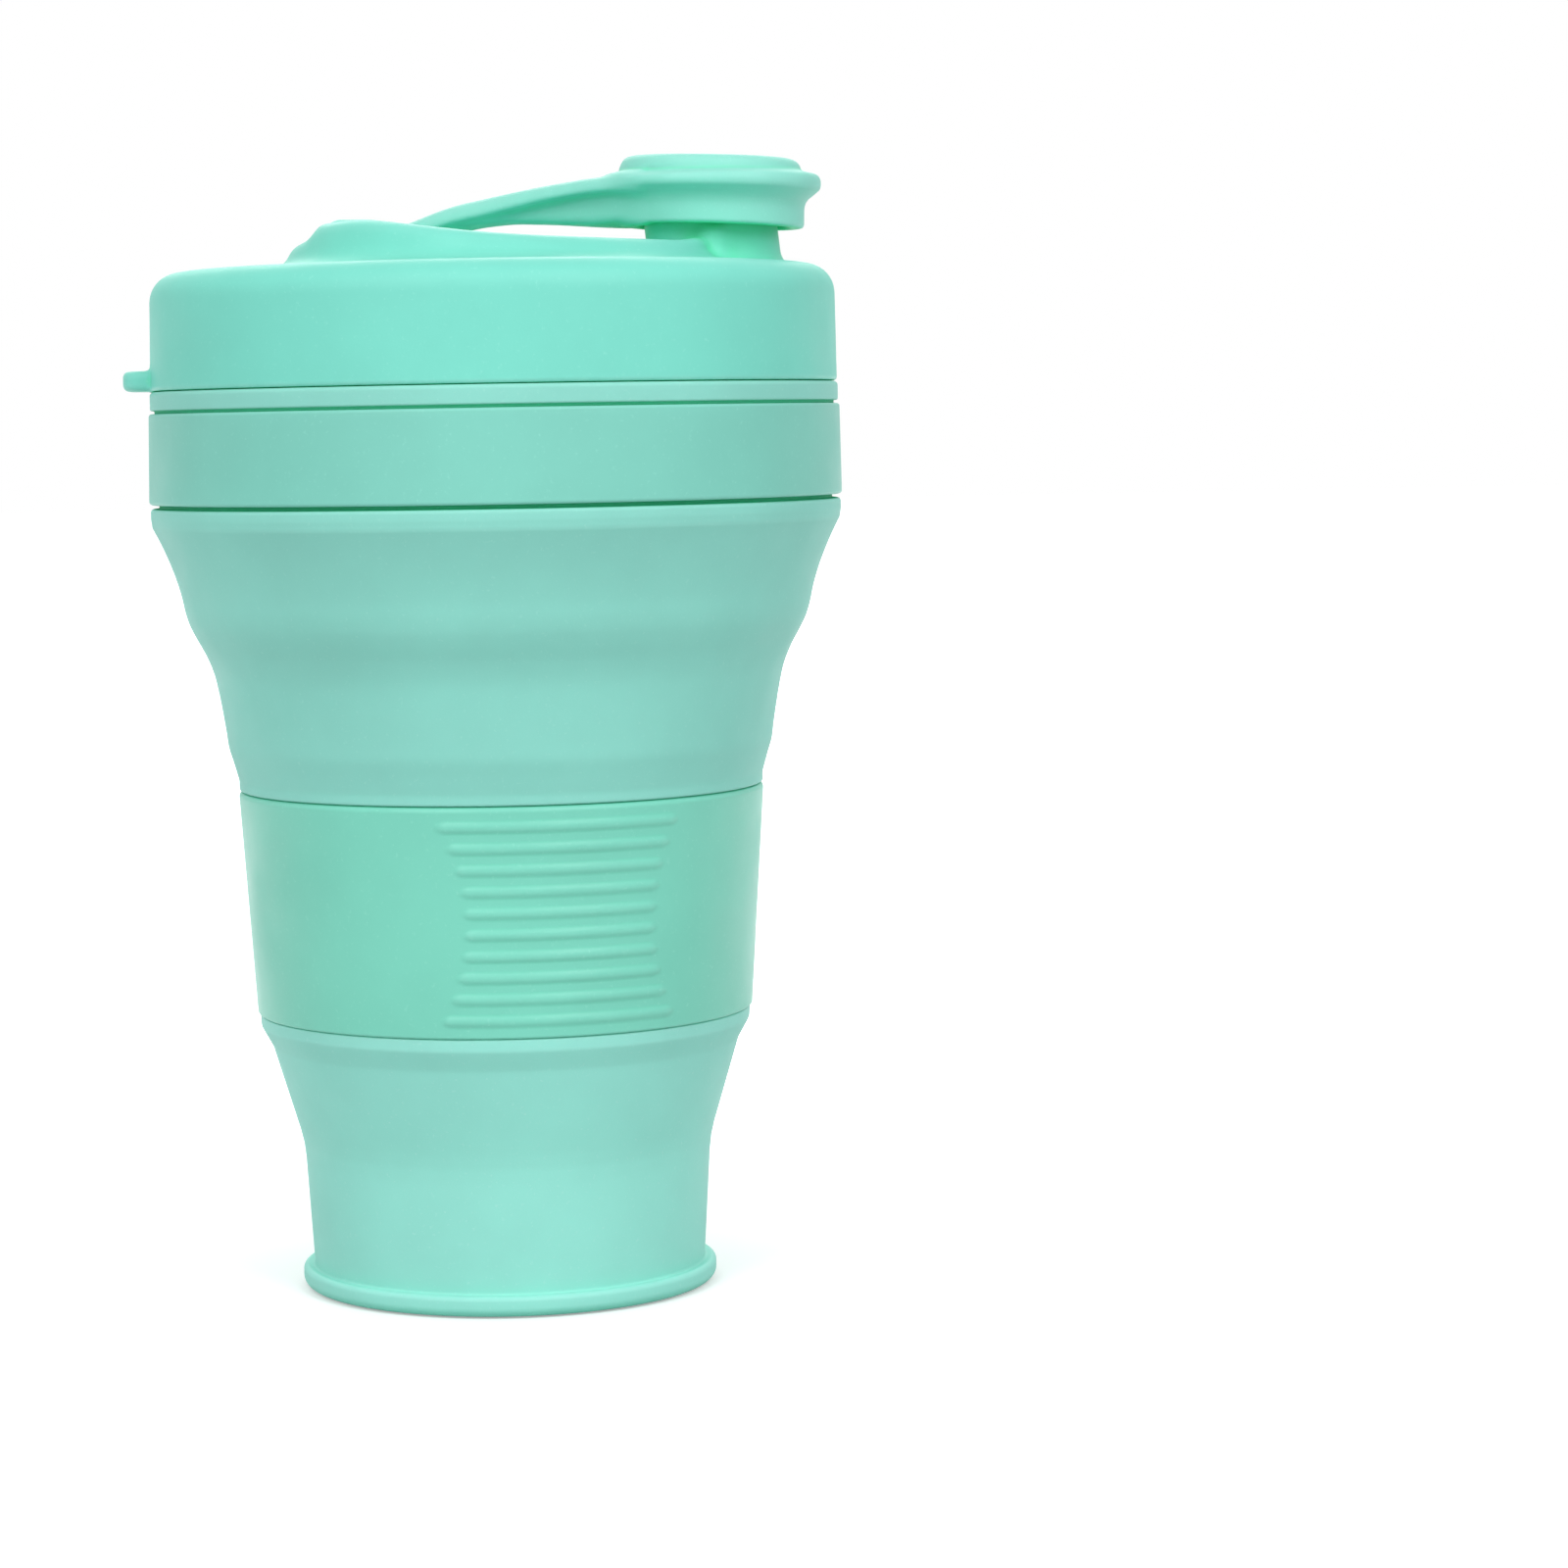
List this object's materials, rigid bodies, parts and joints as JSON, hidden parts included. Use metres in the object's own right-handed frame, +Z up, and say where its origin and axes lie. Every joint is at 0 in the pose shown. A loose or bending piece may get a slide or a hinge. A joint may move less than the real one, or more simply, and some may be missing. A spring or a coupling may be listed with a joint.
{
  "type": "collapsible travel cup",
  "caption": "Collapsible silicone travel cup with scalloped fold wall, ribbed grip sleeve, collar ring, lift-off lid, drinking spout and strapped stopper.",
  "frame": {"origin": "on the cup's axis, in the plane that the foot stands on", "axes": "+Z up along the cup's axis, +X towards the drinking spout, the lift tab points along -X"},
  "size_m": [0.0997, 0.0952, 0.1551],
  "materials": {
    "cup_silicone": "matte",
    "sleeve_plastic": "fine matte",
    "collar_plastic": "fine matte",
    "lid_plastic": "fine matte",
    "seal_silicone": "matte",
    "stopper_silicone": "matte"
  },
  "bodies": {
    "base": {"cup_base": "cup_silicone", "cup_lower_fold": "cup_silicone"},
    "grip": {"cup_grip_wall": "cup_silicone", "grip_sleeve": "sleeve_plastic", "cup_upper_fold": "cup_silicone"},
    "neck": {"cup_neck": "cup_silicone", "collar": "collar_plastic"},
    "lid": {"lid_shell": "lid_plastic", "lid_seal": "seal_silicone", "strap_anchor": "stopper_silicone"},
    "stopper": {"stopper": "stopper_silicone"}
  },
  "joints": [
    {"name": "lower_fold", "type": "slide", "parent": "base", "child": "grip", "axis": [0, 0, 1], "range_m": [-0.03, 0], "deforming": ["cup_lower_fold"]},
    {"name": "upper_fold", "type": "slide", "parent": "grip", "child": "neck", "axis": [0, 0, 1], "range_m": [-0.06, 0], "deforming": ["cup_upper_fold"]},
    {"name": "lid_lift", "type": "slide", "parent": "neck", "child": "lid", "axis": [0, 0, 1], "range_m": [0, 0.04]},
    {"name": "stopper_lift", "type": "hinge", "parent": "lid", "child": "stopper", "pos_m": [-0.01075, 0.01505, 0.1474], "axis": [-0.342, -0.9397, 0], "range_deg": [0, 120]}
  ]
}
